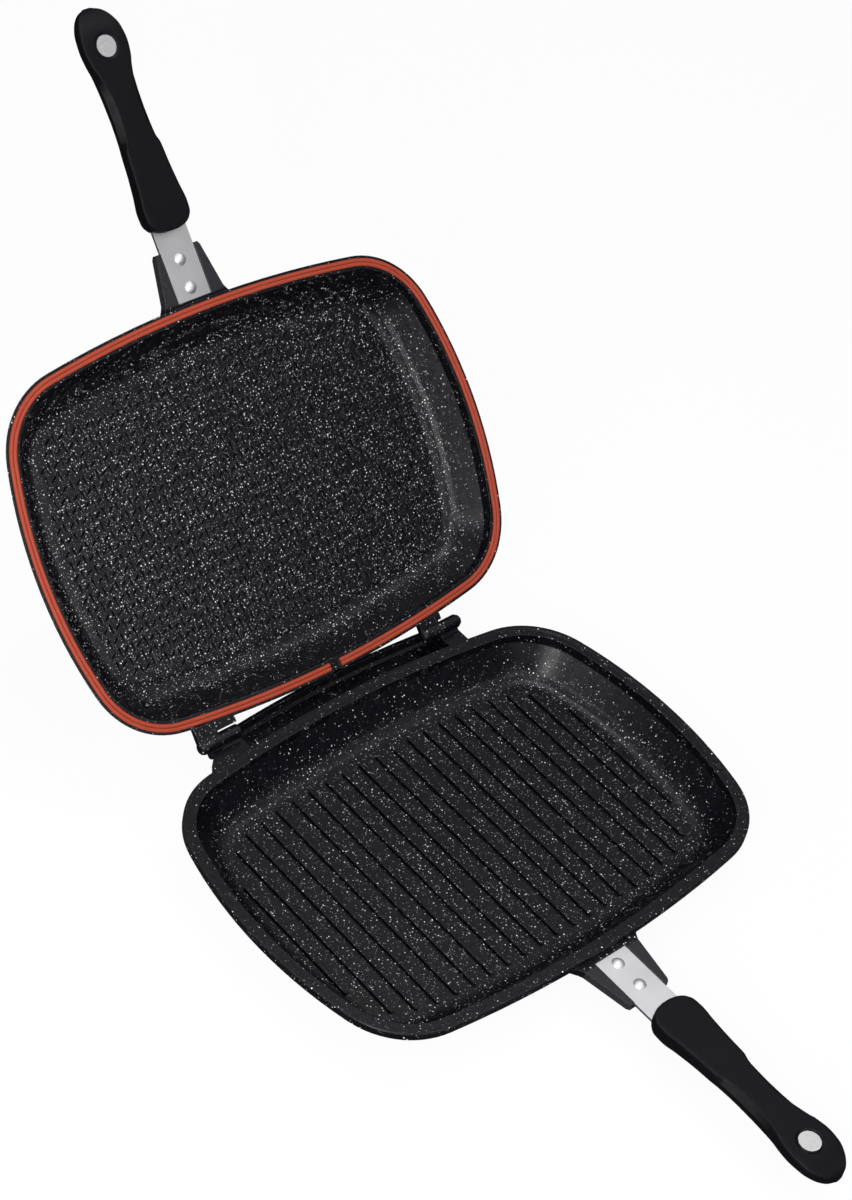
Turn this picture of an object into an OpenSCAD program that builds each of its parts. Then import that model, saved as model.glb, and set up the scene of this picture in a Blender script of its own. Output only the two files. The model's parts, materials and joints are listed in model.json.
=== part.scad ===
// Double sided flip pan, standing open: a ribbed lower pan on the table and a
// lid pan with a silicone seal, joined by two slide-on hinges, each with a
// riveted steel strap and a half grip whose magnet meets the other one.
//
// +X runs along the hinge, +Y to the hinge side, +Z up. The origin is the
// middle of the lower pan's flat base, on the table.

/* [Pan outline] */
// Width of the upper pan over its rim, left to right
pan_w = 360; // [320:1:400]
// Depth of the upper pan over its rim, hinge side to handle side
pan_d = 254.4; // [236:0.2:290]
// Radius of the bowed left and right sides
side_bow_r = 300; // [240:1:500]
// Radius of the bowed front and back sides
front_bow_r = 860; // [600:1:1600]
// Radius of the upper pan's corners
corner_r = 58; // [54:1:70]
// How far the lower pan's rim lies inside the upper pan's rim, all round
rim_step = 2.7; // [1.5:0.1:4]

/* [Walls] */
// Inside depth of the lower pan, rim to floor
lower_depth = 28.5; // [26:0.5:42]
// Inside depth of the upper pan, rim to floor
upper_depth = 28; // [24:0.5:42]
// Thickness of the lower pan's base
lower_base = 6.5; // [4:0.5:8]
// Thickness of the upper pan's base
upper_base = 2.6; // [2:0.5:5]
// Thickness of the lower pan's wall
lower_wall = 3.4; // [2.5:0.1:4.5]
// Thickness of the upper pan's wall
upper_wall = 2.5; // [2:0.1:3.4]
// Lean of the walls from upright, in degrees
wall_lean = 38; // [30:1:42]
// Radius between wall and floor, inside
floor_fillet = 14; // [8:1:18]
// Radius between wall and base, outside
base_fillet = 4; // [2:1:10]
// Width of the lower rim
lower_rim_w = 8.3; // [8:0.1:9]
// Width of the upper rim
upper_rim_w = 8.9; // [8.6:0.1:9.6]
// Upright height of the lower pan's rim
lower_rim_h = 5.5; // [4:0.5:6]
// Step from the lower rim's outside to the wall under it
lower_step = 1.8; // [0.5:0.1:2.5]
// Upright height of the upper pan's rim
upper_rim_h = 1; // [0.8:0.1:2]
// Width of the lower rim's raised outer lip
lip_w = 3.4; // [2:0.1:5]
// Height of that lip over the ledge inside it
lip_h = 1; // [0.5:0.1:2]

/* [Grill ribs] */
// Number of grill ribs
rib_n = 21; // [11:2:21]
// Spacing of the ribs
rib_pitch = 14.1; // [9:0.1:14.2]
// Width of a rib
rib_w = 3.2; // [2:0.1:5]
// Height of a rib
rib_h = 2; // [1:0.1:3]
// Distance of the longest ribs' ends from the upper pan's rim
rib_end_in = 39; // [38:0.5:60]
// Distance of the outermost ribs from the upper pan's rim
rib_side_in = 37.4; // [37:0.1:60]

/* [Seal] */
// Width of the silicone seal
seal_w = 5.6; // [4:0.1:5.8]
// Height of the seal
seal_h = 3; // [2.4:0.1:3.6]
// How far the seal stands out of the rim
seal_proud = 1.2; // [0.6:0.1:1.8]
// Thickness of the lip outside the seal
seal_lip = 1.6; // [1:0.1:1.8]
// Gap between the closed seal and the lower rim
seal_gap = 0.3; // [0.2:0.05:0.6]
// Break in the seal at the vent
vent_w = 9; // [6:0.5:14]
// Width of the vent notch
notch_w = 6.4; // [3:0.1:6.4]

/* [Hinge] */
// Opening angle in the stored pose, where the hinge rests on its stop
open_angle = 135; // [110:1:140]
// Distance of the hinge axis from the upper pan's rim
hinge_out = 6; // [5.6:0.1:8]
// Height of the hinge axis over the lower rim
hinge_up = 3.35; // [3:0.05:5]
// Radius of the knuckles and ears
knuckle_r = 4.7; // [4.4:0.1:5]
// Width of a knuckle on the lower pan
knuckle_w = 15; // [12:0.5:20]
// Width of an ear on the upper pan
ear_w = 15.5; // [12:0.5:20]
// Distance of the knuckles' middles from the middle of the pan
knuckle_x = 94; // [85:1:100]
// Shift of both hinges towards +X
hinge_shift = 1.6; // [0:0.1:3]
// Radius of the hinge pins
pin_r = 2.5; // [2:0.1:2.8]
// Depth that a pin is pressed into its knuckle
pin_set = 12; // [8:0.5:13]
// Length of pin that an ear slides on
pin_reach = 13.5; // [8:0.5:13.5]
// Radial running clearance of a pin in its ear
pin_play = 0.05; // [0.02:0.01:0.1]
// Side gap between ear and knuckle
ear_gap = 0.3; // [0.2:0.05:0.8]
// Thickness of the ears' plates
ear_t = 4.2; // [3:0.1:6]

/* [Drip trough] */
// Distance of the trough's outer face from the lower rim
trough_out = 20; // [16:0.5:24]
// Thickness of the trough's walls
trough_wall = 2.5; // [2:0.1:4]
// Depth of the trough's lip below the rim
trough_lip = 1.8; // [1.8:0.1:4]
// Inside depth of the trough
trough_depth = 8.7; // [6:0.1:11]

/* [Handles] */
// Width of the steel straps
strap_w = 26; // [20:0.5:28]
// Thickness of the straps
strap_t = 2; // [1.5:0.1:3]
// Distance of a strap's outer face from the plane where the pans meet
strap_drop = 6.4; // [5.6:0.1:8]
// Width of the tang inside the grip
tang_w = 14; // [10:0.5:18]
// Gap from the lower strap's end to the rim, seen from above
lower_strap_gap = 2.8; // [1.5:0.1:4]
// The same gap of the upper strap
upper_strap_gap = 1.8; // [1.5:0.1:4]
// Distance of the brackets' tips from the middle of the pan
bracket_end = 162.4; // [158:0.2:164]
// Half width of a bracket at its root
bracket_root = 23.2; // [20:0.5:30]
// Half width of a bracket at its tip
bracket_tip = 17.3; // [15.6:0.1:20]
// Thickness of a bracket
bracket_t = 5.6; // [4.6:0.1:8]
// Height of the bracket's prongs over the strap
prong_up = 0.8; // [0:0.1:2]
// Side clearance of the strap between the prongs
strap_play = 0.25; // [0.1:0.05:0.6]
// Radius of a rivet's shank
rivet_r = 2.5; // [2:0.1:3]
// Radius of a rivet's head
rivet_head_r = 4.2; // [3.5:0.1:5]
// Height of a rivet's head
rivet_head_h = 2; // [1.2:0.1:2.6]
// Distance of the first rivet from the strap's end
rivet_first = 7.4; // [6:0.1:10]
// Spacing of the two rivets
rivet_pitch = 19; // [15:0.5:21]

/* [Grips] */
// Distance from the hinge side's middle line to the near end of the grips
grip_start = 174; // [168:1:180]
// Length of a grip
grip_l = 146.5; // [130:0.5:165]
// Largest half width of a grip
grip_half_w = 17.4; // [15:0.1:20]
// Largest thickness of a half grip
grip_t = 20.5; // [17:0.5:24]
// Gap of each grip's flat face from the plane where the pans meet
grip_gap = 0.6; // [0.3:0.1:1.5]
// Distance of the magnets from the grips' near end
magnet_at = 120.5; // [110:0.5:124]
// Radius of a magnet
magnet_r = 7; // [5:0.1:8]
// Thickness of a magnet
magnet_t = 4; // [2:0.5:5]
// Depth of a magnet's face below the grip's flat face
magnet_sink = 0.2; // [0:0.1:1]
// Distance of the grip screw from the grips' near end
screw_at = 62; // [50:1:80]
// Radius of the grip screw
screw_r = 2; // [1.5:0.1:2.5]
// Radius of the grip screw's countersunk head
screw_head_r = 3.8; // [3:0.1:4.5]

/* [Hidden] */

cast_black = [0.10, 0.10, 0.11];
seal_orange = [0.72, 0.27, 0.17];
steel = [0.72, 0.72, 0.73];
bakelite = [0.05, 0.05, 0.055];
nickel = [0.80, 0.80, 0.80];

half_w = pan_w / 2;
half_d = pan_d / 2;
rim_z = lower_depth + lower_base;         // the lower rim, over the table
hinge_y = half_d + hinge_out;
hinge_z = rim_z + hinge_up;
metal_up = seal_gap + seal_proud;         // upper metal rim over the closed lower rim
lean = tan(wall_lean);
rim_under = 1.2;                          // slant of the lower rim's underside

// ---------------------------------------------------------------- outline
// The outline is eight tangent arcs. Their centres are the same for both pans
// and at every inset: only the radii change.
side_c = [half_w - side_bow_r, 0];
front_c = [0, half_d - front_bow_r];
corner_c = let(r1 = side_bow_r - corner_r,
               r2 = front_bow_r - corner_r,
               dist = norm(front_c - side_c),
               dir = (front_c - side_c) / dist,
               along = (r1 * r1 - r2 * r2 + dist * dist) / (2 * dist),
               off = sqrt(r1 * r1 - along * along))
           side_c + along * dir + off * [-dir[1], dir[0]];
side_a = atan2(corner_c[1], corner_c[0] - side_c[0]);
front_a = atan2(corner_c[1] - front_c[1], corner_c[0]);

// Half depth of the outline at x, at an inset from the upper pan's rim
function edge_y(x, inset) =
    let(ax = abs(x),
        turn = front_c[1] + (front_bow_r - inset) * sin(front_a),
        turn_x = (front_bow_r - inset) * cos(front_a),
        side_x = side_c[0] + (side_bow_r - inset) * cos(side_a))
    ax <= turn_x ? front_c[1] + sqrt(pow(front_bow_r - inset, 2) - ax * ax)
    : ax <= side_x ? corner_c[1] + sqrt(max(0, pow(corner_r - inset, 2) - pow(ax - corner_c[0], 2)))
    : sqrt(max(0, pow(side_bow_r - inset, 2) - pow(ax - side_c[0], 2)));

// Points round the first quarter of the outline, from the +X end to the +Y end
function quarter(inset, n) = concat(
    [for (i = [0:n - 1]) side_c + (side_bow_r - inset) * unit(side_a * i / n)],
    [for (i = [0:n - 1]) corner_c + (corner_r - inset) * unit(side_a + (front_a - side_a) * i / n)],
    [for (i = [0:n]) front_c + (front_bow_r - inset) * unit(front_a + (90 - front_a) * i / n)]);
function unit(a) = [cos(a), sin(a)];
function reversed(v) = [for (i = [len(v) - 1:-1:0]) v[i]];
function flip(v, sx, sy) = [for (p = v) [p[0] * sx, p[1] * sy]];
function closed_outline(inset, n) =
    let(q = quarter(inset, n))
    concat(q, reversed(flip(q, -1, 1)), flip(q, -1, -1), reversed(flip(q, 1, -1)));

// Sweeps a profile round the outline. The profile's x is minus the inset.
module sweep_outline() {
    for (m = [0, 1]) mirror([m, 0, 0])
        translate([side_c[0], 0, 0])
            rotate_extrude(angle = 2 * side_a, start = -side_a, $fn = 360)
                translate([side_bow_r, 0]) children();
    for (m = [0, 1]) mirror([0, m, 0])
        translate([0, front_c[1], 0])
            rotate_extrude(angle = 180 - 2 * front_a, start = front_a, $fn = 720)
                translate([front_bow_r, 0]) children();
    // The corners reach a little into their neighbours, a hair inside them
    for (mx = [0, 1]) for (my = [0, 1]) mirror([mx, 0, 0]) mirror([0, my, 0])
        translate([corner_c[0], corner_c[1], 0])
            rotate_extrude(angle = front_a - side_a + 1, start = side_a - 0.5, $fn = 150)
                translate([corner_r - 0.04, 0]) children();
}

// Sweeps a profile round the back side only
module sweep_back(half_angle) {
    translate([0, front_c[1], 0])
        rotate_extrude(angle = 2 * half_angle, start = 90 - half_angle, $fn = 720)
            translate([front_bow_r, 0]) children();
}

// ---------------------------------------------------------------- pan shells
// Rounds the corner between a leaning wall, which passes inset i0 at depth d0,
// and a floor at depth d. Points are [-inset, -depth].
function round_in(i0, d0, d, r) =
    let(ic = i0 + lean * (d - r - d0) + r / cos(wall_lean))
    [for (k = [0:6]) let(a = wall_lean + (90 - wall_lean) * k / 6)
        [-(ic - r * cos(a)), -(d - r + r * sin(a))]];

// Wall, rim and outer strip of floor of one pan, below a rim plane at z = 0.
// first is the rim's own inset, step how far the wall starts inside it, top
// the points across the rim, inner to outer.
module shell_profile(first, step, top, rim_w, rim_h, wall, depth, base) {
    wall_i = wall / cos(wall_lean);
    upright_to = rim_h + (rim_w - step - wall_i) / lean;
    join = corner_r - 6;
    inside = round_in(first + step + wall_i, rim_h, depth, floor_fillet);
    outside = round_in(first + step, rim_h, depth + base, base_fillet);
    polygon(concat(
        [[-join, -depth]],
        reversed(inside),
        [[-first - rim_w, -upright_to]],
        top,
        [[-first, -rim_h]],
        step > 0 ? [[-first - step, -rim_h - rim_under]] : [],
        outside,
        [[-join, -depth - base]]));
}

// Floor plate inside the swept strip
module floor_plate(depth, base) {
    translate([0, 0, -depth - base]) linear_extrude(base)
        polygon(closed_outline(corner_r - 9, 6));
}

// ---------------------------------------------------------------- hinges
knuckle_left = [for (s = [-1, 1]) hinge_shift - knuckle_x + s * knuckle_w / 2];
knuckle_right = [for (s = [-1, 1]) hinge_shift + knuckle_x + s * knuckle_w / 2];
ear_left = [knuckle_left[0] - ear_gap - ear_w, knuckle_left[0] - ear_gap];
ear_right = [knuckle_right[0] - ear_gap - ear_w, knuckle_right[0] - ear_gap];
web_top = -1.2;                           // lower webs and block, below the rim
web_low = -12;
block_y = hinge_y - knuckle_r - 1;        // back of the hinge blocks
nose_l = 3;

// A shape given in [y, z], extruded along X between two ends
module along_x(ends) {
    translate([ends[0], 0, 0]) rotate([90, 0, 90]) linear_extrude(ends[1] - ends[0]) children();
}

module rod_x(ends, r) {
    translate([ends[0], 0, 0]) rotate([0, 90, 0]) cylinder(h = ends[1] - ends[0], r = r, $fn = 64);
}

// Rod along X with a rounded end at the side it points to
module round_rod_x(ends, r, round_r, to_right) {
    n = 6;
    translate([to_right ? ends[0] : ends[1], 0, 0]) rotate([0, to_right ? 90 : -90, 0])
        rotate_extrude($fn = 64) polygon(concat(
            [[0, 0], [r, 0]],
            [for (k = [0:n]) let(a = 90 * k / n)
                [r - round_r + round_r * cos(a), ends[1] - ends[0] - round_r + round_r * sin(a)]],
            [[0, ends[1] - ends[0]]]));
}

// Moves what is drawn round the hinge axis to the axis, in rim heights
module at_axis() {
    translate([0, hinge_y, hinge_up]) children();
}

module lower_web(ends) {
    root = edge_y(knuckle_x, rim_step) - 5;
    along_x(ends) polygon([
        [root, web_top], [block_y + 1.2, web_top], [hinge_y, hinge_up],
        [hinge_y + knuckle_r - 0.5, hinge_up - 1.4], [hinge_y + 1, hinge_up - knuckle_r - 4],
        [block_y, web_low], [root, web_low]]);
}

module lower_hinges() {
    root = edge_y(knuckle_x, rim_step) - 6;
    for (ends = [knuckle_left, knuckle_right]) {
        at_axis() rod_x(ends, knuckle_r);
        lower_web(ends);
    }
    // rounded nose of the right knuckle
    at_axis() round_rod_x([knuckle_right[1] - 1, knuckle_right[1] + nose_l], knuckle_r - 0.8, 2, true);
    // stop block under the left ear
    translate([0, 0, web_low]) linear_extrude(web_top - web_low) polygon([
        [ear_left[0] - 2.5, root], [ear_left[0] + 8, block_y],
        [knuckle_left[1], block_y], [knuckle_left[1], root]]);
}

// The ear's stop heel, drawn in the open pose where it meets the block
module heel() {
    translate([0, hinge_y, hinge_up]) rotate([open_angle, 0, 0])
        translate([0, -hinge_y, -hinge_up])
            along_x([ear_left[0] + 7, ear_left[1]]) polygon([
                [block_y + 0.3, web_top - 0.1], [block_y + 0.3, web_top - 3.8],
                [block_y + 3, web_top - 4.8], [hinge_y + 3, hinge_up - knuckle_r + 0.6],
                [hinge_y, hinge_up], [hinge_y - 3.6, hinge_up - 1.6]]);
}

// Ears in the closed pose: x ends of the ear and of its foot on the rim
module ear(ends, foot) {
    edge = edge_y(max(abs(ends[0]), abs(ends[1])), 0) - 1;
    root = edge - 5;
    low = 0.3;
    high = low + ear_t;
    at_axis() round_rod_x(ends, knuckle_r, 3, false);
    along_x(ends) polygon([
        [root, metal_up + 0.1], [edge, metal_up + 0.1], [edge + 1.2, low],
        [hinge_y - 3, low], [hinge_y, hinge_up], [hinge_y, high],
        [edge + 2, high], [root, high + 3]]);
    along_x(foot) polygon([
        [root, metal_up + 0.1], [edge, metal_up + 0.1], [edge + 1.2, low],
        [block_y - 0.6, low], [block_y - 0.6, high], [edge + 2, high], [root, high + 3]]);
}

module ear_bore(ends) {
    at_axis() rod_x([ends[1] - pin_reach - 0.5, ends[1] + 1], pin_r + pin_play);
}

module pin_bore(ends) {
    at_axis() rod_x([ends[0] - 1, ends[0] + pin_set], pin_r);
}

module hinge_pin(ends) {
    color(steel) translate([0, 0, rim_z]) at_axis() {
        rod_x([ends[0] - ear_gap - pin_reach + 0.6, ends[0] + pin_set], pin_r);
        rod_x([ends[0] - ear_gap - pin_reach, ends[0]], pin_r - 0.6);
    }
}

// ---------------------------------------------------------------- drip trough
trough_ends = [knuckle_left[1] - 1, knuckle_right[0] + 2.5];
trough_floor = trough_lip + trough_depth;

module trough_profile(filled) {
    out = rim_step - trough_out;          // inset of the outer face
    low = trough_floor + trough_wall;
    in_face = rim_step + lower_step + lean * (trough_floor - lower_rim_h) + lower_wall * 0.6;
    polygon(concat(
        [[-out, -trough_lip], [-out - trough_wall, -trough_lip]],
        filled ? [] : [[-out - trough_wall, -trough_floor + 1.5],
                       [-out - trough_wall - 1.5, -trough_floor]],
        filled ? [[-rim_step - 1, -trough_lip], [-in_face, -trough_floor]]
               : [[-in_face, -trough_floor]],
        [[-in_face - 1.6, -low], [-out - 2.5, -low], [-out, -low + 2.5]]));
}

module x_slab(ends) {
    translate([ends[0], 0, -60]) cube([ends[1] - ends[0], 2 * pan_d, 120]);
}

module trough() {
    reach = asin((knuckle_x + knuckle_w) / front_bow_r);
    intersection() {
        sweep_back(reach) trough_profile(false);
        x_slab(trough_ends);
    }
    intersection() {
        sweep_back(reach) trough_profile(true);
        union() {
            x_slab([trough_ends[0], trough_ends[0] + trough_wall]);
            x_slab([trough_ends[1] - trough_wall, trough_ends[1]]);
        }
    }
}

// ---------------------------------------------------------------- handle bracket
prong_top = strap_drop - prong_up;        // below the plane where the pans meet
seat = strap_drop + strap_t;
slot_half = strap_w / 2 + strap_play;

// Bracket below the meeting plane, on a rim whose front edge is at -front.
// wall is the wall's distance inside that edge where the bracket starts.
module bracket(front, gap, wall) {
    tip = bracket_end;
    low = prong_top + bracket_t;
    root = front - wall - 2.4;
    difference() {
        translate([0, 0, -low]) linear_extrude(bracket_t) polygon([
            [-bracket_root - 5, -front + 4], [-bracket_root - 1.6, -front - 1],
            [-bracket_root, -front - 4],
            [-bracket_tip, -tip + 2], [-bracket_tip + 1.4, -tip],
            [bracket_tip - 1.4, -tip], [bracket_tip, -tip + 2],
            [bracket_root, -front - 4], [bracket_root + 1.6, -front - 1],
            [bracket_root + 5, -front + 4], [bracket_root, -root], [-bracket_root, -root]]);
        translate([-slot_half, -tip - 1, -seat])
            cube([2 * slot_half, tip + 1 - front - gap + strap_play, seat]);
        for (k = [0, 1]) translate([0, -rivet_y(front + gap, k), -low - 1])
            cylinder(h = bracket_t + 2, r = rivet_r, $fn = 48);
    }
}

// start is the near end of the strap
function rivet_y(start, k) = start + rivet_first + k * rivet_pitch;

module strap(start) {
    tang_end = grip_start + screw_at + 12;
    shoulder = grip_start + 10;
    difference() {
        translate([0, 0, -seat]) linear_extrude(strap_t) polygon([
            [-strap_w / 2, -start], [strap_w / 2, -start],
            [strap_w / 2, -shoulder], [tang_w / 2, -shoulder - 5],
            [tang_w / 2, -tang_end + 2], [tang_w / 2 - 2, -tang_end],
            [2 - tang_w / 2, -tang_end], [-tang_w / 2, -tang_end + 2],
            [-tang_w / 2, -shoulder - 5], [-strap_w / 2, -shoulder]]);
        for (k = [0, 1]) translate([0, -rivet_y(start, k), -seat - 1])
            cylinder(h = strap_t + 2, r = rivet_r, $fn = 48);
        translate([0, -grip_start - screw_at, -seat - 1])
            cylinder(h = strap_t + 2, r = screw_r, $fn = 48);
    }
}

// Domed rivet through strap and bracket, with a flat formed head below
module rivet(start, k) {
    low = prong_top + bracket_t;
    dome_r = (rivet_head_r * rivet_head_r + rivet_head_h * rivet_head_h) / (2 * rivet_head_h);
    translate([0, -rivet_y(start, k), 0]) {
        translate([0, 0, -low - 1.2]) cylinder(h = 1.2, r = rivet_r + 1.2, $fn = 48);
        translate([0, 0, -low]) cylinder(h = low - strap_drop, r = rivet_r, $fn = 48);
        intersection() {
            translate([0, 0, -strap_drop + rivet_head_h - dome_r]) sphere(r = dome_r, $fn = 64);
            translate([0, 0, -strap_drop]) cylinder(h = rivet_head_h + 1, r = rivet_head_r, $fn = 48);
        }
    }
}

// ---------------------------------------------------------------- grip
// Stations along a grip: share of its length, half width of the flat face and
// of the body, thickness and drop of the face, as shares of the largest ones.
grip_stations = [
    [0.000, 0.20, 0.22, 0.66, 0.020], [0.008, 0.52, 0.55, 0.82, 0.006],
    [0.030, 0.80, 0.84, 0.94, 0], [0.062, 0.95, 0.98, 1.00, 0],
    [0.105, 0.97, 1.00, 1.00, 0], [0.180, 0.89, 0.93, 0.92, 0],
    [0.280, 0.81, 0.86, 0.83, 0], [0.370, 0.765, 0.81, 0.80, 0],
    [0.400, 0.66, 0.78, 0.79, 0], [0.450, 0.55, 0.75, 0.79, 0],
    [0.520, 0.495, 0.73, 0.80, 0], [0.590, 0.51, 0.74, 0.81, 0],
    [0.650, 0.60, 0.77, 0.81, 0], [0.720, 0.745, 0.83, 0.81, 0],
    [0.765, 0.885, 0.92, 0.80, 0], [0.830, 0.955, 0.985, 0.78, 0],
    [0.890, 0.90, 0.95, 0.75, 0.02], [0.940, 0.74, 0.80, 0.70, 0.09],
    [0.980, 0.46, 0.52, 0.60, 0.20], [1.000, 0.12, 0.16, 0.46, 0.32]];
ring_n = 16;                              // sides of the body's half round
// One section: flat face above, bulging half round below
function grip_ring(s) =
    let(y = -grip_start - s[0] * grip_l,
        face = s[1] * grip_half_w,
        body = s[2] * grip_half_w,
        top = -grip_gap - s[4] * grip_t,
        bulge = top - 0.22 * (s[3] * grip_t - s[4] * grip_t),
        low = -grip_gap - s[3] * grip_t)
    concat([[face, y, top]],
           [for (k = [0:ring_n]) let(a = 180 * k / ring_n)
               [body * cos(a), y, bulge - (bulge - low) * sin(a)]],
           [[-face, y, top]]);

function flat_list(v) = [for (a = v) for (b = a) b];

module grip_body() {
    rings = [for (s = grip_stations) grip_ring(s)];
    m = len(rings[0]);
    last = len(rings) - 1;
    polyhedron(
        points = flat_list(rings),
        faces = concat(
            [[for (j = [0:m - 1]) j]],
            [for (i = [0:last - 1]) for (j = [0:m - 1])
                let(a = i * m + j, b = i * m + (j + 1) % m) [a, a + m, b]],
            [for (i = [0:last - 1]) for (j = [0:m - 1])
                let(a = i * m + j, b = i * m + (j + 1) % m) [b, a + m, b + m]],
            [[for (j = [m - 1:-1:0]) last * m + j]]));
}

function grip_low() = -grip_gap - 0.80 * grip_t;  // body's underside at the screw

module grip() {
    play = 0.15;
    tang_end = grip_start + screw_at + 12;
    shoulder = grip_start + 10;
    screw_y = -grip_start - screw_at;
    magnet_y = -grip_start - magnet_at;
    difference() {
        grip_body();
        translate([-strap_w / 2 - play, -shoulder - play, -seat])
            cube([strap_w + 2 * play, 20, strap_t + play]);
        translate([0, 0, -seat]) linear_extrude(strap_t + play) polygon([
            [-strap_w / 2 - play, -shoulder + 1], [strap_w / 2 + play, -shoulder + 1],
            [strap_w / 2 + play, -shoulder - play], [tang_w / 2 + play, -shoulder - 5 - play],
            [tang_w / 2 + play, -tang_end - play], [-tang_w / 2 - play, -tang_end - play],
            [-tang_w / 2 - play, -shoulder - 5 - play], [-strap_w / 2 - play, -shoulder - play]]);
        translate([0, magnet_y, -grip_gap - magnet_sink - magnet_t])
            cylinder(h = magnet_t + 5, r = magnet_r + 0.05, $fn = 64);
        translate([0, screw_y, grip_low() - 5]) cylinder(h = -grip_low(), r = screw_r + 0.1, $fn = 48);
        translate([0, screw_y, grip_low() - 5]) cylinder(h = 5 + 3.4, r = screw_head_r + 0.1, $fn = 48);
    }
}

module grip_screw() {
    head_h = 2.4;
    translate([0, -grip_start - screw_at, 0]) {
        translate([0, 0, grip_low() + 3.4 - head_h]) difference() {
            cylinder(h = head_h, r = screw_head_r, $fn = 48);
            translate([-5, -0.5, -1]) cube([10, 1, 2]);
        }
        translate([0, 0, grip_low() + 3.3]) cylinder(h = -strap_drop - grip_low() - 3.3, r = screw_r, $fn = 48);
    }
}

module magnet() {
    translate([0, -grip_start - magnet_at, -grip_gap - magnet_sink - magnet_t])
        cylinder(h = magnet_t, r = magnet_r, $fn = 64);
}

// ---------------------------------------------------------------- placing
// Lower parts are drawn below the meeting plane, which lies at the rim.
module on_lower() {
    translate([0, 0, rim_z]) children();
}

// Upper parts are drawn closed, above the meeting plane, and swung open.
module on_upper() {
    translate([0, hinge_y, hinge_z]) rotate([-open_angle, 0, 0])
        translate([0, -hinge_y, -hinge_up]) children();
}

// Handle pieces are drawn for the lower pan and mirrored for the upper one.
module upper_handle() {
    on_upper() mirror([0, 0, 1]) children();
}

lower_front = half_d - rim_step;
upper_front = half_d;
lower_strap_y = lower_front + lower_strap_gap;
upper_strap_y = upper_front + upper_strap_gap;

// ---------------------------------------------------------------- pieces
// Half length of the rib at x: the ribs fill a rounded box on the floor
function rib_reach(x) =
    let(t = abs(x) / (half_w - rib_side_in))
    t >= 1 ? 0 : (half_d - rib_end_in) * pow(1 - pow(t, 5), 0.2);

module ribs() {
    for (k = [0:rib_n - 1]) {
        x = (k - (rib_n - 1) / 2) * rib_pitch;
        y = rib_reach(x) - rib_w / 2;
        if (y > rib_w)
            translate([x, 0, -lower_depth - 1]) {
                translate([-rib_w / 2, -y, 0]) cube([rib_w, 2 * y, rib_h + 1]);
                for (e = [-y, y]) translate([0, e, 0]) cylinder(h = rib_h + 1, r = rib_w / 2, $fn = 32);
            }
    }
}

module lower_pan() {
    color(cast_black) on_lower() difference() {
        union() {
            sweep_outline() shell_profile(rim_step, lower_step,
                [[-rim_step - lower_rim_w, -lip_h], [-rim_step - lip_w - 0.3, -lip_h],
                 [-rim_step - lip_w, 0], [-rim_step - 0.5, 0], [-rim_step, -0.5]],
                lower_rim_w, lower_rim_h, lower_wall, lower_depth, lower_base);
            floor_plate(lower_depth, lower_base);
            ribs();
            lower_hinges();
            trough();
            bracket(lower_front, lower_strap_gap, lower_step + lean * max(0, prong_top - lower_rim_h));
        }
        pin_bore(knuckle_left);
        pin_bore(knuckle_right);
    }
}

seal_in = seal_lip + seal_w;              // inset of the seal's inner side
seal_base = metal_up + seal_h - seal_proud;

module upper_pan() {
    slack = 0.1;
    color(cast_black) on_upper() difference() {
        union() {
            mirror([0, 0, 1]) translate([0, 0, -metal_up]) {
                sweep_outline() shell_profile(0, 0, [[-upper_rim_w, 0], [0, 0]],
                    upper_rim_w, upper_rim_h, upper_wall, upper_depth, upper_base);
                floor_plate(upper_depth, upper_base);
            }
            ear(ear_left, [ear_left[0], knuckle_left[1]]);
            ear(ear_right, [ear_right[0], ear_right[1] + 3]);
            heel();
            mirror([0, 0, 1]) bracket(upper_front, upper_strap_gap,
                lean * max(0, prong_top - metal_up - upper_rim_h));
        }
        difference() {
            sweep_outline() translate([-seal_in - slack, 0])
                square([seal_w + 2 * slack, seal_base]);
            translate([-vent_w / 2, 0, -1]) cube([vent_w, half_d + 20, seal_base + 2]);
        }
        translate([-notch_w / 2, half_d - upper_rim_w - 2, 0])
            cube([notch_w, upper_rim_w + 4, seal_base]);
        ear_bore(ear_left);
        ear_bore(ear_right);
    }
}

// Seal with two rounded beads, broken at the vent
module seal() {
    color(seal_orange) on_upper() difference() {
        sweep_outline() translate([-seal_in, 0]) polygon([
            [0, seal_base], [0, seal_gap + 0.5], [0.7, seal_gap], [seal_w / 2 - 0.9, seal_gap],
            [seal_w / 2, seal_gap + 0.7], [seal_w / 2 + 0.9, seal_gap], [seal_w - 0.7, seal_gap],
            [seal_w, seal_gap + 0.5], [seal_w, seal_base]]);
        translate([-vent_w / 2 - 0.1, 0, -1]) cube([vent_w + 0.2, half_d + 20, seal_base + 2]);
    }
}

module hinge_pin_left() { hinge_pin(knuckle_left); }
module hinge_pin_right() { hinge_pin(knuckle_right); }
module lower_strap() { color(steel) on_lower() strap(lower_strap_y); }
module upper_strap() { color(steel) upper_handle() strap(upper_strap_y); }
module lower_rivet_near() { color(steel) on_lower() rivet(lower_strap_y, 0); }
module lower_rivet_far() { color(steel) on_lower() rivet(lower_strap_y, 1); }
module upper_rivet_near() { color(steel) upper_handle() rivet(upper_strap_y, 0); }
module upper_rivet_far() { color(steel) upper_handle() rivet(upper_strap_y, 1); }
module lower_grip() { color(bakelite) on_lower() grip(); }
module upper_grip() { color(bakelite) upper_handle() grip(); }
module lower_grip_screw() { color(steel) on_lower() grip_screw(); }
module upper_grip_screw() { color(steel) upper_handle() grip_screw(); }
module lower_magnet() { color(nickel) on_lower() magnet(); }
module upper_magnet() { color(nickel) upper_handle() magnet(); }

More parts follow.
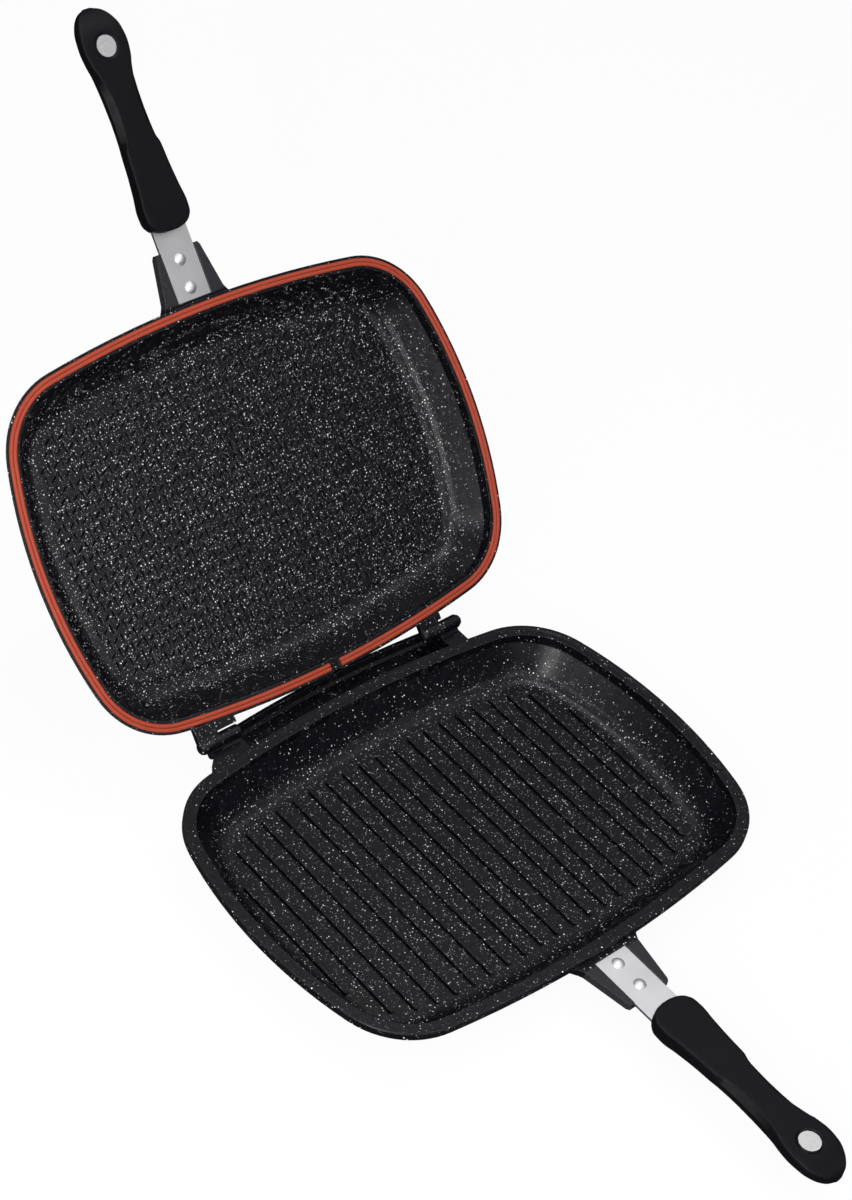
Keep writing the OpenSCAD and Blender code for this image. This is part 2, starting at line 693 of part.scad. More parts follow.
lower_pan();
upper_pan();
seal();
hinge_pin_left();
hinge_pin_right();
lower_strap();
upper_strap();
lower_rivet_near();
lower_rivet_far();
upper_rivet_near();
upper_rivet_far();
lower_grip();
upper_grip();
lower_grip_screw();
upper_grip_screw();
lower_magnet();
upper_magnet();
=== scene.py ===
"""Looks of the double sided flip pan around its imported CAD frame.

Everything is in metres, in the frame of the part: +X along the hinge, +Y to
the hinge side, +Z up, the origin in the middle of the lower pan's base.
"""
import json
import math

import bmesh
import bpy
from mathutils import Matrix, Vector
from mathutils.geometry import delaunay_2d_cdt


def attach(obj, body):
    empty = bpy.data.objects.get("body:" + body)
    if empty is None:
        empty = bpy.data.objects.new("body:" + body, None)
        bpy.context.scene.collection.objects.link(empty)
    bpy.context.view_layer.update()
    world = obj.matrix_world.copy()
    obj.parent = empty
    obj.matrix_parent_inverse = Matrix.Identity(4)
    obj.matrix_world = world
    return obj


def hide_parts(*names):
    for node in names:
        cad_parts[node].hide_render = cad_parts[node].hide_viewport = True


MM = 0.001

# Rim of the upper pan, as in the CAD source: eight tangent arcs
HALF_W, HALF_D = 180.0 * MM, 127.2 * MM
SIDE_R, FRONT_R, CORNER_R = 300.0 * MM, 860.0 * MM, 58.0 * MM
RIM_Z = 35.0 * MM                    # meeting plane of the closed pans
LID_FLOOR_Z = RIM_Z + 29.5 * MM      # inside of the upper pan's floor, closed
OPEN_ANGLE = math.radians(135)       # how far the upper pan stands open
VENT_W = 9.0 * MM                    # opening of the seal at the vent, on the hinge side
# Steps on the arcs of the rim; the vent parts the hinge side in two halves
CORNER_STEPS, SIDE_STEPS, FRONT_STEPS, HINGE_HALF_STEPS = 26, 50, 70, 36

# Weave pressed into the upper pan's floor: two kinds of short creases on a
# lattice of rows, each row shifted by half a step
WEAVE_STEP, WEAVE_ROW = 10.0 * MM, 7.7 * MM
WEAVE_FROM = (-108.6 * MM, 75.7 * MM)
# Crease: offset along X, direction, half length
WEAVE_CREASES = ((0.0, (0.24, 0.97), 3.3 * MM), (4.7 * MM, (0.80, -0.60), 2.6 * MM))
WEAVE_DEPTH = 0.55 * MM              # depth of a crease
WEAVE_WIDTH = 0.78 * MM              # half width of a crease
CREASE_WIDE, CREASE_DEEP = 0.7, 0.75  # shares of its half length with full width and full depth
WEAVE_INSET = 31.0 * MM              # edge of the weave, from the rim
WEAVE_FADE = 4.0 * MM                # the sheet rises to its full height over this
WEAVE_FADE_STEPS = 5
WEAVE_LIFT = 0.03 * MM               # the sheet's edge over the CAD floor

# Seal, in the closed frame: two beads between two insets from the rim, with
# their crests, the groove and the root at these heights over the meeting plane
SEAL_IN, SEAL_OUT = 7.05 * MM, 1.75 * MM
SEAL_CREST, SEAL_GROOVE, SEAL_ROOT = 0.3 * MM, 1.45 * MM, 3.3 * MM
BEAD_FULLNESS = 2.6                  # 2 is a half round bead, more is a fuller one
BEAD_STEPS = 12

# Grill ribs of the lower pan, as in the CAD source
LOWER_FLOOR_Z = 6.5 * MM
RIB_PITCH, RIB_HALF_W = 14.1 * MM, 1.6 * MM
RIB_REACH = 88.2 * MM                # half length of the middle rib
RIB_SPREAD = 142.6 * MM              # half width of all the ribs
RIB_FIELD_POWER = 5.0                # the ribs' ends lie on an oval of this power
RIB_SIDES_AT, RIB_SIDES_HALF = 1.1 * MM, 1.2 * MM  # middle of their sides over the floor, half height
# Painted shadow line along a rib's foot: middle outside the rib, half width, top over the floor,
# how much shorter than the rib it is at each end
RIB_LINE_OFF, RIB_LINE_HALF, RIB_LINE_TOP, RIB_LINE_SHORT = 0.15 * MM, 0.25 * MM, 0.4 * MM, 1.0 * MM
# Share of near black in the painted shade on the ribs' sides and feet
RIB_SHADE_DARKNESS = 0.6

# Zones and colours of the stone coating
BRACKETS_FROM = -128.6 * MM          # the brackets lie beyond this, towards -Y
BRACKET_BLEND = 0.6 * MM
BRACKET_DIMS = 0.94                  # by this share the flecks are dimmer on a bracket
WALL_ABOVE = 3.5 * MM                # over a floor, the walls start at this height
WALL_BLEND = 10 * MM
WALL_LOSES = 0.62                    # by this share the flecks are fewer on the walls
COATING_EDGE_R = 0.6 * MM            # rounding that the coating gives to sharp edges
COATING_BLACK = ((0.0016, 0.0015, 0.0028, 1), (0.0034, 0.0032, 0.0056, 1))
BRACKET_BLACK = (0.022, 0.022, 0.026, 1)
# Lighter grey of the painted highlight along sharp edges
EDGE_HIGHLIGHT_GREY = (0.22, 0.22, 0.23, 1)
# Near black of the painted shade in the creases and along the ribs
CREASE_SHADE_BLACK = (0.0004, 0.0004, 0.0006, 1)
# Flecks: cell, largest radius, share of the cells, dimmest one, strength, colour
FLECKS = (
    (0.70 * MM, 0.28 * MM, 0.70, 0.10, 0.07, (0.60, 0.60, 0.66, 1)),
    (1.00 * MM, 0.31 * MM, 0.44, 0.25, 0.75, (0.88, 0.88, 0.94, 1)),
    (1.60 * MM, 0.50 * MM, 0.33, 0.55, 1.00, (1.0, 1.0, 1.0, 1)))
FLECK_SMALLEST = 0.35                # radius of the smallest fleck, as a share of the largest
LOWER_FLECKS, UPPER_FLECKS, WEAVE_FLECKS = 0.8, 1.2, 1.4  # how dense the flecks are

# Half grips, as in the CAD source, but 0.2 mm shorter and thinner
GRIP_START, GRIP_LENGTH = 174.0 * MM, 146.3 * MM
GRIP_HALF_W, GRIP_T, GRIP_GAP = 17.4 * MM, 20.3 * MM, 0.6 * MM
GRIP_EDGE = 1.3 * MM                 # rounding of the flat face's edge
GRIP_EDGE_MOST = 0.4                 # and at most this share of the face's half width
# Where the face is narrow against the body its edge is sharper: the least share of the rounding,
# the face's share of the body where it starts, the range over which it grows
GRIP_EDGE_FADE = (0.3, 0.85, 0.09)
GRIP_WAIST = 0.22                    # the body is widest at this share of its depth under the face
GRIP_BACK = 0.80                     # thickness at the screw, as a share of the largest
GRIP_ENDS = (0.03, 0.89)             # the rings are closer together before and after these shares
GRIP_STEPS = (7, 78, 14)             # rings before, between and after them
# Share of the length, half width of the face and of the body, thickness and
# drop of the face, as shares of the largest ones
GRIP_STATIONS = (
    (0.000, 0.20, 0.22, 0.66, 0.020), (0.008, 0.52, 0.55, 0.82, 0.006),
    (0.030, 0.80, 0.84, 0.94, 0.0), (0.062, 0.95, 0.98, 1.00, 0.0),
    (0.105, 0.97, 1.00, 1.00, 0.0), (0.180, 0.89, 0.93, 0.92, 0.0),
    (0.280, 0.81, 0.86, 0.83, 0.0), (0.370, 0.765, 0.81, 0.80, 0.0),
    (0.400, 0.66, 0.78, 0.79, 0.0), (0.450, 0.55, 0.75, 0.79, 0.0),
    (0.520, 0.495, 0.73, 0.80, 0.0), (0.590, 0.51, 0.74, 0.81, 0.0),
    (0.650, 0.60, 0.77, 0.81, 0.0), (0.720, 0.745, 0.83, 0.81, 0.0),
    (0.765, 0.885, 0.92, 0.80, 0.0), (0.830, 0.955, 0.985, 0.78, 0.0),
    (0.890, 0.90, 0.95, 0.75, 0.02), (0.940, 0.74, 0.80, 0.70, 0.09),
    (0.980, 0.46, 0.52, 0.60, 0.20), (1.000, 0.12, 0.16, 0.46, 0.32))
MAGNET_AT, MAGNET_R = 120.5 * MM, 7.0 * MM
SCREW_AT, SCREW_HEAD_R = 62.0 * MM, 3.8 * MM
# What is cut from a grip around its magnet and its screw: radius beyond
# theirs, height over the surface, from the bottom up
MAGNET_SEAT = (
    (0.1 * MM, -4.2 * MM), (0.1 * MM, -1.0 * MM), (0.9 * MM, -0.7 * MM),
    (2.0 * MM, -0.12 * MM), (2.5 * MM, 0.3 * MM))
SCREW_HOLE = ((0.5 * MM, -1.0 * MM), (0.1 * MM, 0.6 * MM), (0.1 * MM, 3.3 * MM))

# Camera of the photograph
CAMERA_AT = Vector((-0.9350, -0.6767, 1.2797))
CAMERA_LOOKS_AT = Vector((0.10195, 0.16102, 0.0350))
CAMERA_ROLL = math.radians(13.887)
CAMERA_LENS, CAMERA_SENSOR = 80.892, 36
CAMERA_REACH = 20.0

LIT_POINT = Vector((0.0, 0.12, 0.08))
# Light: name, direction from the lit point, distance, size, way of the long side, power
LIGHTS = (
    ("front_softbox", (-0.725, -0.50, 0.43), 1.5, (0.90, 0.10), (0.11, 0.39, 0.40), 14),
    ("front_panel", (0.12, -0.75, 0.65), 1.4, (0.9, 0.4), (1, 0, 0), 3.4),
    ("top_softbox", (0.20, 0.10, 1.0), 1.6, (0.9, 0.24), (1, -1, 0), 8),
    ("high_spot", (-0.225, -0.333, 0.915), 1.5, (0.30, 0.12), (1, -0.7, 0), 3),
    ("left_softbox", (-0.744, 0.0, 0.668), 1.3, (0.45, 0.15), (0, 1, 0), 3),
)
WORLD_LIGHT = 0.14
# The world in reflections: two heights of the way up, its level below and above them
WORLD_MIRROR = (0.40, 0.75, 0.04, 0.62)
FLOOR_HALF, FLOOR_DROP = 6.0, 0.2 * MM
FLOOR_GLOW = 0.95                    # share of plain white in what the camera sees of the floor
FLOOR_WHITE, FLOOR_MIRRORED = (0.94, 0.94, 0.94, 1), (0.06, 0.06, 0.06, 1)


# ------------------------------------------------------------------ node help
class Tree:
    """Short calls for building the nodes of a material or a world."""

    def __init__(self, owner):
        owner.use_nodes = True
        self.nodes = owner.node_tree.nodes
        self.links = owner.node_tree.links

    def add(self, kind, sockets=None, **settings):
        node = self.nodes.new(kind)
        for key, value in settings.items():
            setattr(node, key, value)
        self.fill(node, sockets or {})
        return node

    def fill(self, node, sockets):
        for key, value in sockets.items():
            socket = node.inputs[key]
            if isinstance(value, bpy.types.NodeSocket):
                self.links.new(value, socket)
            else:
                socket.default_value = value

    def calc(self, operation, *values):
        return self.add("ShaderNodeMath", dict(enumerate(values)), operation=operation).outputs[0]

    def dot(self, a, b):
        node = self.add("ShaderNodeVectorMath", {0: a, 1: b}, operation="DOT_PRODUCT")
        return node.outputs["Value"]

    def ramp(self, value, low, high, to_low=0.0, to_high=1.0, kind="SMOOTHSTEP"):
        sockets = dict(enumerate((value, low, high, to_low, to_high)))
        return self.add("ShaderNodeMapRange", sockets, interpolation_type=kind).outputs[0]

    def mix_colour(self, share, a, b):
        return self.add("ShaderNodeMix", {0: share, 6: a, 7: b}, data_type="RGBA").outputs[2]


class Material(Tree):
    """The nodes of a new material, its shader and the place of the shaded point."""

    def __init__(self, name):
        self.material = bpy.data.materials.new(name)
        super().__init__(self.material)
        self.shader = self.nodes["Principled BSDF"]
        self.place = self.add("ShaderNodeTexCoord").outputs["Object"]

    def shade(self, **sockets):
        """Sets the shader's sockets, named in small letters with underscores for spaces."""
        names = {name.lower().replace(" ", "_"): name for name in self.shader.inputs.keys()}
        self.fill(self.shader, {names[key]: value for key, value in sockets.items()})

    def noise(self, scale, detail=3.0, rough=0.5, at=None):
        """Noise with so many swings to the metre."""
        sockets = {"Vector": at or self.place, "Scale": scale, "Detail": detail, "Roughness": rough}
        return self.add("ShaderNodeTexNoise", sockets).outputs["Fac"]

    def stretched(self, scale):
        node = self.add("ShaderNodeVectorMath", {0: self.place, 1: scale}, operation="MULTIPLY")
        return node.outputs[0]

    def bump(self, height, strength, distance, normal=None):
        sockets = {"Height": height, "Strength": strength, "Distance": distance}
        if normal is not None:
            sockets["Normal"] = normal
        return self.add("ShaderNodeBump", sockets).outputs["Normal"]


# ------------------------------------------------------------------ materials
def specks(tree, cell, radius, share, dimmest):
    """Round flecks in a share of the cells, of different sizes up to radius, soft at the edge."""
    voronoi = tree.add("ShaderNodeTexVoronoi", {
        "Vector": tree.place, "Scale": 1 / cell, "Randomness": 1.0}).outputs
    parts = tree.add("ShaderNodeSeparateColor", {"Color": voronoi["Color"]}).outputs
    size = tree.ramp(parts[0], 0, 1, FLECK_SMALLEST * radius / cell, radius / cell, "LINEAR")
    dot = tree.ramp(tree.calc("SUBTRACT", size, voronoi["Distance"]), -0.02, 0.05)
    there = tree.calc("LESS_THAN", parts[1], share)
    bright = tree.ramp(parts[2], 0, 1, dimmest, 1.0, "LINEAR")
    return tree.calc("MULTIPLY", tree.calc("MULTIPLY", dot, there), bright)


def stone_coating(name, zones, density, dark=None):
    """Black non-stick coating with white and grey stone flecks.

    The zones are two directions, each with the distance along it where a zone starts.
    Beyond the first lies the bracket, with hardly any flecks. Beyond the second lie the
    walls and the rim, with fewer flecks and bright edges, a painted highlight. The function
    dark, if given, says where shade is painted: in the creases or on the ribs' lines.
    """
    tree = Material(name)
    outwards, bracket_from, upwards, wall_from = zones
    bracket = tree.ramp(tree.dot(tree.place, outwards), bracket_from, bracket_from + BRACKET_BLEND)
    wall = tree.ramp(tree.dot(tree.place, upwards), wall_from, wall_from + WALL_BLEND)
    # Share of painted shade: in the weave's creases or on the ribs' lines
    crease = dark(tree) if dark else 0.0

    rounded = tree.add("ShaderNodeBevel", {"Radius": COATING_EDGE_R}, samples=4).outputs["Normal"]
    straight = tree.add("ShaderNodeNewGeometry").outputs["Normal"]
    # Painted highlight: sharp edges of the walls, the rim and the bracket turn lighter grey, where
    # the rounded normal turns from the true one
    edge = tree.ramp(tree.dot(straight, rounded), 0.99, 0.86, 0.0, 0.2)
    edge = tree.calc("MULTIPLY", edge, tree.calc("MAXIMUM", bracket, wall))
    clouds = tree.noise(9.0, 4.0)
    colour = tree.mix_colour(clouds, *COATING_BLACK)
    colour = tree.mix_colour(bracket, colour, BRACKET_BLACK)
    colour = tree.mix_colour(edge, colour, EDGE_HIGHLIGHT_GREY)

    many = tree.calc("SUBTRACT", 1.0, tree.calc("MULTIPLY", wall, WALL_LOSES))
    bright = tree.calc("SUBTRACT", 1.0, tree.calc("MULTIPLY", bracket, BRACKET_DIMS))
    # The painted shade in the creases and along the ribs puts out the flecks too
    bright = tree.calc("MULTIPLY", bright, tree.calc("SUBTRACT", 1.0, crease))
    for cell, radius, share, dimmest, strength, tone in FLECKS:
        flecks = specks(tree, cell, radius, tree.calc("MULTIPLY", many, share * density), dimmest)
        flecks = tree.calc("MULTIPLY", tree.calc("MULTIPLY", flecks, strength), bright)
        colour = tree.mix_colour(flecks, colour, tone)

    grain = tree.calc("ADD", tree.noise(1400.0, 2.0), tree.noise(260.0, 2.0))
    # Painted shade: where the creases and the ribs' lines are, the colour turns near black and
    # metallic, which reflects less than the coating, so they stay dark
    tree.shade(
        base_color=tree.mix_colour(crease, colour, CREASE_SHADE_BLACK),
        metallic=crease,
        roughness=tree.ramp(tree.noise(120.0), 0.3, 0.7, 0.25, 0.33),
        specular_ior_level=0.22,
        normal=tree.bump(grain, 0.6, 0.17 * MM, rounded))
    return tree.material


def weave_crease_shade(tree):
    """Where shade is painted into the bottoms of the weave's creases, which the mesh says."""
    gap = tree.add("ShaderNodeAttribute", attribute_name="gap").outputs["Fac"]
    return tree.ramp(gap, 0.0, 0.45, 0.0, 0.85)


def rib_shade_lines(tree):
    """Where shade is painted on the grill ribs' steep sides and in thin lines along their feet."""
    x, y, z = tree.add("ShaderNodeSeparateXYZ", {"Vector": tree.place}).outputs
    normal = tree.add("ShaderNodeNewGeometry").outputs["Normal"]
    facing_x = tree.add("ShaderNodeSeparateXYZ", {"Vector": normal}).outputs["X"]
    steep = tree.ramp(tree.calc("ABSOLUTE", facing_x), 0.60, 0.85)
    at_sides = tree.calc("COMPARE", z, LOWER_FLOOR_Z + RIB_SIDES_AT, RIB_SIDES_HALF)
    side = tree.calc("MULTIPLY", steep, at_sides)

    middle = tree.calc("SNAP", tree.calc("ADD", x, RIB_PITCH / 2), RIB_PITCH)
    off = tree.calc("ABSOLUTE", tree.calc("SUBTRACT", x, middle))
    foot = tree.calc("COMPARE", off, RIB_HALF_W + RIB_LINE_OFF, RIB_LINE_HALF)
    foot = tree.calc("MULTIPLY", foot, tree.calc("LESS_THAN", z, LOWER_FLOOR_Z + RIB_LINE_TOP))
    aside = tree.calc("DIVIDE", tree.calc("ABSOLUTE", middle), RIB_SPREAD)
    aside = tree.calc("POWER", tree.calc("MINIMUM", aside, 1.0), RIB_FIELD_POWER)
    reach = tree.calc("POWER", tree.calc("SUBTRACT", 1.0, aside), 1 / RIB_FIELD_POWER)
    reach = tree.calc("MULTIPLY", reach, RIB_REACH)
    reach = tree.calc("SUBTRACT", reach, RIB_LINE_SHORT)
    foot = tree.calc("MULTIPLY", foot, tree.calc("LESS_THAN", tree.calc("ABSOLUTE", y), reach))
    return tree.calc("MULTIPLY", tree.calc("MAXIMUM", side, foot), RIB_SHADE_DARKNESS)


def silicone():
    """Terracotta silicone of the seal, a little dusty."""
    tree = Material("seal_silicone")
    cloud = tree.noise(60.0, 3.0)
    tree.shade(
        base_color=tree.mix_colour(cloud, (0.335, 0.048, 0.024, 1), (0.395, 0.062, 0.032, 1)),
        roughness=tree.ramp(cloud, 0.3, 0.7, 0.48, 0.62),
        specular_ior_level=0.25,
        normal=tree.bump(tree.noise(900.0), 0.15, 0.06 * MM))
    return tree.material


def brushed_steel(name, brightness, roughness):
    """Steel brushed along the handle, with faint stains."""
    tree = Material(name)
    hair = tree.noise(1.0, 5.0, 0.7, at=tree.stretched((3200.0, 26.0, 26.0)))
    stain = tree.noise(70.0, 3.0)
    low = tuple(brightness * k for k in (0.90, 0.90, 0.92)) + (1,)
    high = tuple(brightness * k for k in (1.10, 1.10, 1.12)) + (1,)
    rough = tree.calc("ADD", tree.calc("MULTIPLY", hair, 0.16), tree.calc("MULTIPLY", stain, 0.12))
    tree.shade(
        base_color=tree.mix_colour(hair, low, high),
        metallic=1.0,
        roughness=tree.calc("ADD", rough, roughness),
        normal=tree.bump(hair, 0.20, 0.03 * MM))
    return tree.material


def bakelite():
    """Nearly black satin plastic of the grips."""
    tree = Material("grip_bakelite")
    black = (0.0020, 0.0020, 0.0030, 1), (0.0036, 0.0036, 0.0048, 1)
    tree.shade(
        base_color=tree.mix_colour(tree.noise(30.0, 4.0), *black),
        roughness=tree.ramp(tree.noise(240.0), 0.3, 0.7, 0.42, 0.52),
        specular_ior_level=0.13,
        normal=tree.bump(tree.noise(2200.0, 2.0), 0.12, 0.05 * MM))
    return tree.material


def magnet_metal():
    """Ground nickel face of the magnets."""
    tree = Material("magnet_nickel")
    ground = tree.noise(900.0, 4.0)
    tree.shade(
        base_color=tree.mix_colour(ground, (0.52, 0.52, 0.53, 1), (0.72, 0.72, 0.73, 1)),
        metallic=1.0,
        roughness=tree.ramp(ground, 0.3, 0.7, 0.34, 0.50))
    return tree.material


# ------------------------------------------------------------------ mesh help
def mesh_object(name, points, faces, material=None, smooth=True):
    mesh = bpy.data.meshes.new(name)
    mesh.from_pydata(points, [], faces)
    if material:
        mesh.materials.append(material)
    mesh.update()
    if smooth:
        mesh.shade_smooth()
    ob = bpy.data.objects.new(name, mesh)
    bpy.context.scene.collection.objects.link(ob)
    return ob


def tube_faces(rings, count):
    """Faces of a tube through rings of count points each, closed by a cap at both ends."""
    faces = []
    for start in range(0, (rings - 1) * count, count):
        for k in range(count):
            n = (k + 1) % count
            faces.append((start + k, start + n, start + count + n, start + count + k))
    faces.append(tuple(range(count)))
    faces.append(tuple((rings - 1) * count + k for k in reversed(range(count))))
    return faces


def tidy_normals(ob):
    """Welds points that coincide and turns every face outwards."""
    work = bmesh.new()
    work.from_mesh(ob.data)
    bmesh.ops.remove_doubles(work, verts=work.verts, dist=0.0001 * MM)
    bmesh.ops.recalc_face_normals(work, faces=work.faces)
    work.to_mesh(ob.data)
    work.free()


def smooth_by_angle(ob, degrees):
    """Smooth shading, with hard edges where two faces meet at more than this angle."""
    with bpy.context.temp_override(object=ob, active_object=ob, selected_objects=[ob],
                                   selected_editable_objects=[ob]):
        bpy.ops.object.shade_smooth_by_angle(angle=math.radians(degrees))


def lathe(name, profile, at, sides=48):
    """Closed solid of revolution about Z through at. Its profile is radius and height."""
    points = []
    for r, z in profile:
        for k in range(sides):
            a = 2 * math.pi * k / sides
            points.append((at[0] + r * math.cos(a), at[1] + r * math.sin(a), at[2] + z))
    ob = mesh_object(name, points, tube_faces(len(profile), sides), smooth=False)
    tidy_normals(ob)
    return ob


def apply_cut(ob, cutter):
    """Cuts one object from the other and removes it."""
    cut = ob.modifiers.new("cut", "BOOLEAN")
    cut.operation, cut.solver, cut.object = "DIFFERENCE", "EXACT", cutter
    graph = bpy.context.evaluated_depsgraph_get()
    ob.data = bpy.data.meshes.new_from_object(ob.evaluated_get(graph))
    ob.modifiers.clear()
    bpy.data.objects.remove(cutter)


# ------------------------------------------------------------------ placing
def opened(hinge):
    """The matrix that takes the closed upper pan to where it stands at rest, about its hinge."""
    axis_at = Vector(hinge["pos_m"])
    turn = Matrix.Rotation(-OPEN_ANGLE, 4, "X")
    return Matrix.Translation(axis_at) @ turn @ Matrix.Translation(-axis_at)


# ------------------------------------------------------------------ rim
def rim_arcs():
    """Centres of the side, front and corner arcs in the first quarter."""
    side = Vector((HALF_W - SIDE_R, 0))
    front = Vector((0, HALF_D - FRONT_R))
    r1, r2 = SIDE_R - CORNER_R, FRONT_R - CORNER_R
    gap = front - side
    along = (r1 * r1 - r2 * r2 + gap.length_squared) / (2 * gap.length)
    off = math.sqrt(r1 * r1 - along * along)
    way = gap.normalized()
    return side, front, side + along * way + off * Vector((-way.y, way.x))


def rim_inset(x, y, arcs):
    """Distance of a point inside the upper pan from its rim, seen from above."""
    side, front, corner = arcs
    p = Vector((abs(x), abs(y)))
    out = p - corner
    start = math.atan2(corner.y - side.y, corner.x - side.x)
    end = math.atan2(corner.y - front.y, corner.x - front.x)
    if start < math.atan2(out.y, out.x) < end:
        return CORNER_R - out.length
    return min(SIDE_R - (p - side).length, FRONT_R - (p - front).length)


def outline_stations():
    """Centre, radius and angle round the rim, clockwise from one side of the vent to the other."""
    side, front, corner = rim_arcs()
    side_a = math.atan2(corner.y, corner.x - side.x)
    front_a = math.atan2(corner.y - front.y, corner.x)
    vent_a = math.asin(0.5 * VENT_W / FRONT_R)
    quarter, half = math.pi / 2, math.pi
    walk = (
        (front, FRONT_R, quarter - vent_a, front_a, HINGE_HALF_STEPS),
        (corner, CORNER_R, front_a, side_a, CORNER_STEPS),
        (side, SIDE_R, side_a, -side_a, SIDE_STEPS),
        (Vector((corner.x, -corner.y)), CORNER_R, -side_a, -front_a, CORNER_STEPS),
        (-front, FRONT_R, -front_a, front_a - half, FRONT_STEPS),
        (-corner, CORNER_R, front_a - half, side_a - half, CORNER_STEPS),
        (-side, SIDE_R, side_a - half, -side_a - half, SIDE_STEPS),
        (Vector((-corner.x, corner.y)), CORNER_R, -side_a - half, -front_a - half, CORNER_STEPS),
        (front, FRONT_R, -front_a - half, vent_a - 3 * quarter, HINGE_HALF_STEPS))
    stations = []
    for centre, radius, start, end, steps in walk:
        first = 1 if stations else 0
        for k in range(first, steps + 1):
            stations.append((centre, radius, start + (end - start) * k / steps))
    return stations


# ------------------------------------------------------------------ weave
class Sheet:
    """Points of the weave, each with a height from 0 to 1 and its share of a crease's bottom."""

    def __init__(self):
        self.places, self.heights, self.gaps, self.edges = [], [], [], []

    def add(self, place, height, gap=0.0):
        self.places.append(place)
        self.heights.append(height)
        self.gaps.append(gap)

    def close(self, start):
        """Joins the points from start on into a loop."""
        end = len(self.places) - 1
        self.edges += [(i, i + 1) for i in range(start, end)] + [(end, start)]


def crease_places():
    """Centre, direction and half length of each crease that lies on the raised floor."""
    arcs = rim_arcs()
    clear = WEAVE_INSET + WEAVE_FADE + WEAVE_WIDTH
    rows = range(math.floor((-HALF_D - WEAVE_FROM[1]) / WEAVE_ROW),
                 math.ceil((HALF_D - WEAVE_FROM[1]) / WEAVE_ROW) + 1)
    for row in rows:
        shift = WEAVE_FROM[0] + WEAVE_STEP * 0.5 * row
        columns = range(math.floor((-HALF_W - shift) / WEAVE_STEP) - 1,
                        math.ceil((HALF_W - shift) / WEAVE_STEP) + 1)
        for column in columns:
            for offset, way, half in WEAVE_CREASES:
                x = WEAVE_FROM[0] + offset + WEAVE_STEP * (column + 0.5 * row)
                y = WEAVE_FROM[1] + WEAVE_ROW * row
                if abs(x) < HALF_W and abs(y) < HALF_D:
                    way = Vector(way).normalized()
                    ends = [Vector((x, y)) + k * (half + WEAVE_WIDTH) * way for k in (-1, 1)]
                    if min(rim_inset(*end, arcs) for end in ends) > clear:
                        yield Vector((x, y)), way, half


def add_crease(sheet, centre, way, half):
    """A pointed hexagon with the line of the crease's bottom in it."""
    side = Vector((-way.y, way.x))
    wide, deep, tip = CREASE_WIDE * half, CREASE_DEEP * half, half + WEAVE_WIDTH
    start = len(sheet.places)
    for along, across in ((tip, 0), (wide, 1), (-wide, 1), (-tip, 0), (-wide, -1), (wide, -1)):
        sheet.add(centre + along * way + across * WEAVE_WIDTH * side, 1.0)
    sheet.close(start)
    for along in (deep, -deep):
        sheet.add(centre + along * way, 0.0, 1.0)
    sheet.edges += [(start + 6, start + 7), (start, start + 6), (start + 3, start + 7)]


def lid_weave(place, material):
    """Floor of the upper pan with its pressed creases: a sheet a little over the CAD floor."""
    sheet = Sheet()
    for k in range(WEAVE_FADE_STEPS + 1):
        start, t = len(sheet.places), k / WEAVE_FADE_STEPS
        for centre, radius, a in outline_stations():
            r = radius - WEAVE_INSET - t * WEAVE_FADE
            place_in_plan = Vector((centre.x + r * math.cos(a), centre.y + r * math.sin(a)))
            sheet.add(place_in_plan, t**2 * (3 - 2 * t))
        sheet.close(start)
    for crease in crease_places():
        add_crease(sheet, *crease)
    # The triangulation works in millimetres
    flat, _, triangles, origins, _, _ = delaunay_2d_cdt(
        [p / MM for p in sheet.places], sheet.edges, [], 0, 1e-6)
    sources = [origin[0] for origin in origins]
    points = [(p.x * MM, p.y * MM, LID_FLOOR_Z - (WEAVE_LIFT + WEAVE_DEPTH * sheet.heights[source]))
              for p, source in zip(flat, sources)]
    ob = mesh_object("lid_floor_weave", points, [tuple(reversed(t)) for t in triangles], material)
    gap = ob.data.attributes.new("gap", "FLOAT", "POINT")
    gap.data.foreach_set("value", [sheet.gaps[source] for source in sources])
    ob.data.transform(place)
    smooth_by_angle(ob, 25)
    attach(ob, "upper")


# ------------------------------------------------------------------ seal
def seal_profile():
    """Inset from the rim and height of each point across the two beads."""
    bead = (SEAL_IN - SEAL_OUT) / 4
    profile = [(SEAL_OUT, SEAL_ROOT)]
    for middle in (SEAL_OUT + bead, SEAL_OUT + 3 * bead):
        for k in range(BEAD_STEPS + 1):
            t = math.sin(math.pi * (k / BEAD_STEPS - 0.5))
            fall = 1 - math.sqrt(max(0.0, 1 - abs(t) ** BEAD_FULLNESS))
            profile.append((middle + t * bead, SEAL_CREST + (SEAL_GROOVE - SEAL_CREST) * fall))
    return profile + [(SEAL_IN, SEAL_ROOT)]


def beaded_seal(place, material):
    """Silicone seal of two round beads with a groove between them, open at the vent."""
    profile, stations = seal_profile(), outline_stations()
    points = []
    for centre, radius, a in stations:
        for inset, z in profile:
            r = radius - inset
            points.append((centre.x + r * math.cos(a), centre.y + r * math.sin(a), RIM_Z + z))
    ob = mesh_object("beaded_seal", points, tube_faces(len(stations), len(profile)), material)
    ob.data.transform(place)
    tidy_normals(ob)
    smooth_by_angle(ob, 60)
    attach(ob, "upper")
    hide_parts("seal")


# ------------------------------------------------------------------ grips
def monotone_slope(left, right):
    """Slope at a station that keeps the curve between its neighbours."""
    return 0.0 if left * right <= 0 else 2 * left * right / (left + right)


